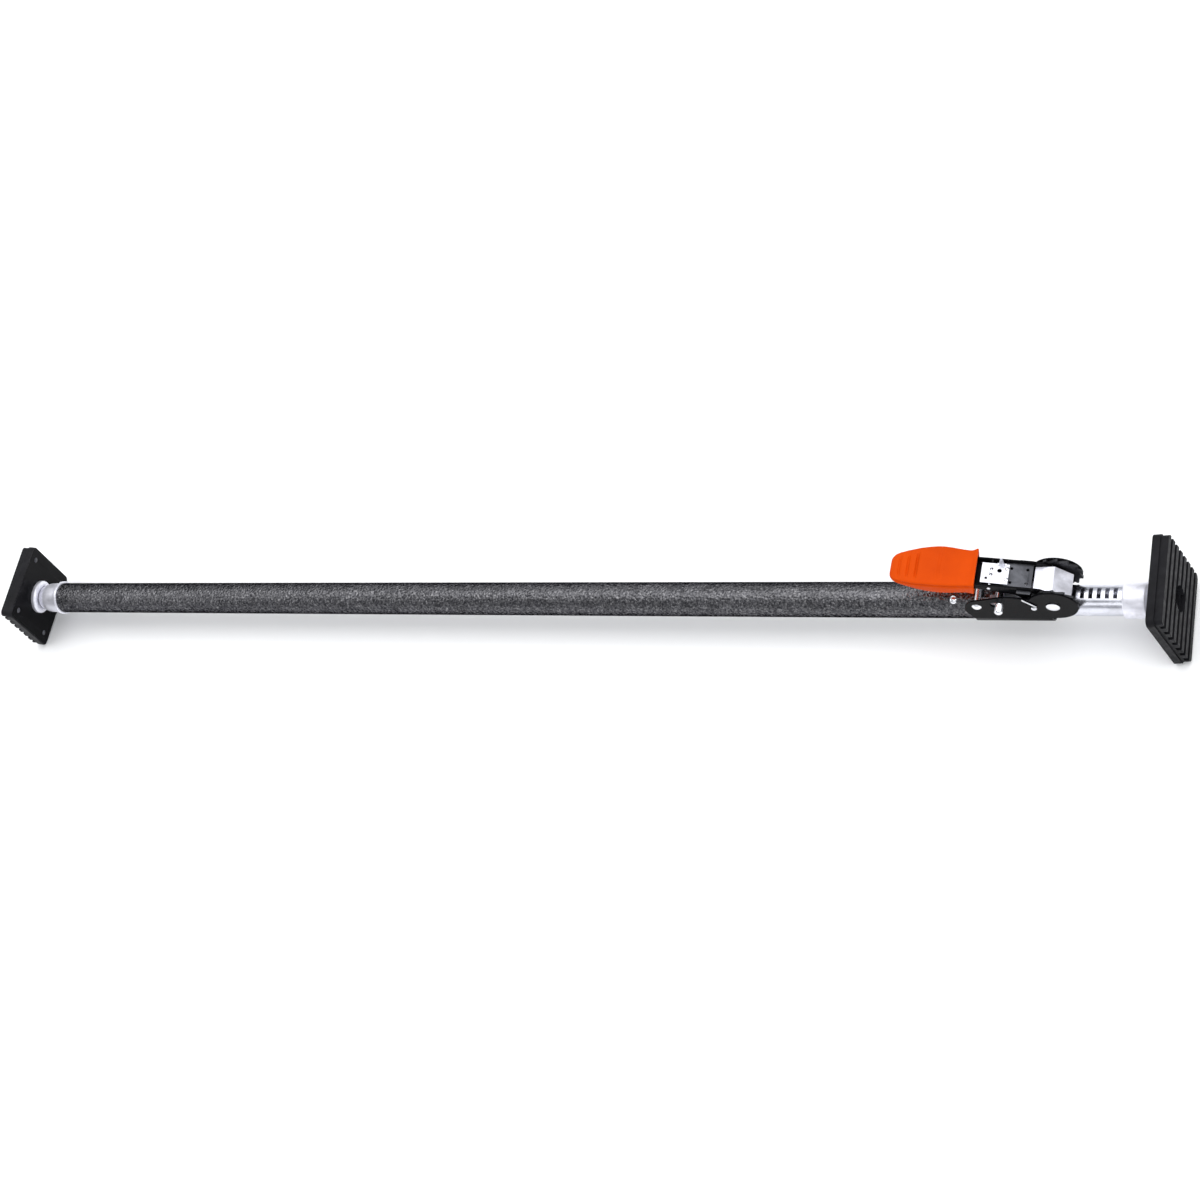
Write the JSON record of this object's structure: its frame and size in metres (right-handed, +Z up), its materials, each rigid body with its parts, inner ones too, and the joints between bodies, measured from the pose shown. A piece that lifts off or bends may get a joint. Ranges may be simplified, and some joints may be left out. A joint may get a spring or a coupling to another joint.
{
  "type": "bed cargo bar",
  "caption": "Ratcheting telescopic cargo bar for a truck bed: black outer tube, slotted zinc inner tube, orange lever handle and square swivelling rubber pads.",
  "frame": {"origin": "on the bar's axis, half way along the outer tube", "axes": "+X along the bar towards the ratchet end, +Z up through the handle"},
  "size_m": [1.4916, 0.105, 0.1259],
  "materials": {
    "hammered_black": "semi_gloss",
    "black_paint": "gloss",
    "bright_zinc": "semi_gloss",
    "zinc_fasteners": "semi_gloss",
    "polished_steel": "gloss",
    "spring_steel": "semi_gloss",
    "dark_steel": "semi_gloss",
    "orange_grip": "semi_gloss",
    "black_rubber": "matte",
    "black_plastic": "matte"
  },
  "bodies": {
    "bar": {"outer_tube": "hammered_black", "tube_bush": "black_plastic", "bush_rivets": "zinc_fasteners", "left_ferrule": "bright_zinc", "saddle_bracket": "black_paint", "saddle_rivets": "zinc_fasteners", "rear_cross_bolt": "zinc_fasteners", "stop_pin": "zinc_fasteners", "retaining_wire": "spring_steel", "gear_guard": "bright_zinc", "guard_rivets": "zinc_fasteners", "lock_springs": "spring_steel"},
    "extension": {"inner_tube": "bright_zinc", "inner_glide": "black_plastic", "right_ferrule": "bright_zinc"},
    "spindle": {"axle": "bright_zinc", "drive_pinion": "dark_steel", "spacer_sleeves": "zinc_fasteners", "near_ratchet_wheel": "dark_steel", "far_ratchet_wheel": "dark_steel"},
    "handle": {"handle_frame": "black_paint", "handle_grip": "orange_grip", "grip_pin": "zinc_fasteners", "pawl_cross_pin": "zinc_fasteners", "drive_pawl_spring": "spring_steel"},
    "drive_slide": {"drive_pawl": "dark_steel", "release_pull": "bright_zinc", "pull_rivets": "zinc_fasteners"},
    "lock_slide": {"lock_pawl": "bright_zinc", "release_bar": "bright_zinc"},
    "left_liner": {"left_ball_seat": "black_plastic"},
    "left_foot": {"left_ball_stud": "polished_steel", "left_pad_collar": "bright_zinc", "left_back_plate": "black_paint", "left_rubber_pad": "black_rubber", "left_pad_rivets": "black_paint", "left_pad_screw": "zinc_fasteners"},
    "right_liner": {"right_ball_seat": "black_plastic"},
    "right_foot": {"right_ball_stud": "polished_steel", "right_pad_collar": "bright_zinc", "right_back_plate": "black_paint", "right_rubber_pad": "black_rubber", "right_pad_rivets": "black_paint", "right_pad_screw": "zinc_fasteners"}
  },
  "joints": [
    {"name": "bar_extension", "type": "slide", "parent": "bar", "child": "extension", "axis": [1, 0, 0], "range_m": [-0.03, 0.3]},
    {"name": "spindle_turn", "type": "hinge", "parent": "bar", "child": "spindle", "pos_m": [0.6625, 0, 0.0256], "axis": [0, 1, 0], "continuous": true},
    {"name": "handle_swing", "type": "hinge", "parent": "bar", "child": "handle", "pos_m": [0.6625, 0, 0.0256], "axis": [0, 1, 0], "range_deg": [0, 110]},
    {"name": "drive_pawl_slide", "type": "slide", "parent": "handle", "child": "drive_slide", "axis": [-0.9796, 0, 0.2011], "range_m": [0, 0.005], "stiffness_N_per_m": 400, "springref_m": -0.005, "deforming": ["drive_pawl_spring"]},
    {"name": "lock_bar_slide", "type": "slide", "parent": "bar", "child": "lock_slide", "axis": [-1, 0, 0], "range_m": [0, 0.005], "stiffness_N_per_m": 500, "springref_m": -0.005, "deforming": ["lock_springs"]},
    {"name": "left_pad_pitch", "type": "hinge", "parent": "bar", "child": "left_liner", "pos_m": [-0.6652, 0, 0], "axis": [0, 1, 0], "range_deg": [-27.1, 2.9]},
    {"name": "left_pad_yaw", "type": "hinge", "parent": "left_liner", "child": "left_foot", "pos_m": [-0.6652, 0, 0], "axis": [0.2096, 0, 0.9778], "range_deg": [-15, 15]},
    {"name": "right_pad_pitch", "type": "hinge", "parent": "extension", "child": "right_liner", "pos_m": [0.7532, 0, 0], "axis": [0, 1, 0], "range_deg": [-7.6, 22.4]},
    {"name": "right_pad_yaw", "type": "hinge", "parent": "right_liner", "child": "right_foot", "pos_m": [0.7532, 0, 0], "axis": [-0.1288, 0, 0.9917], "range_deg": [-15, 15]}
  ],
  "couplings": [
    {"joint": "spindle_turn", "follows": "bar_extension", "rad_per_m": -95.2}
  ]
}
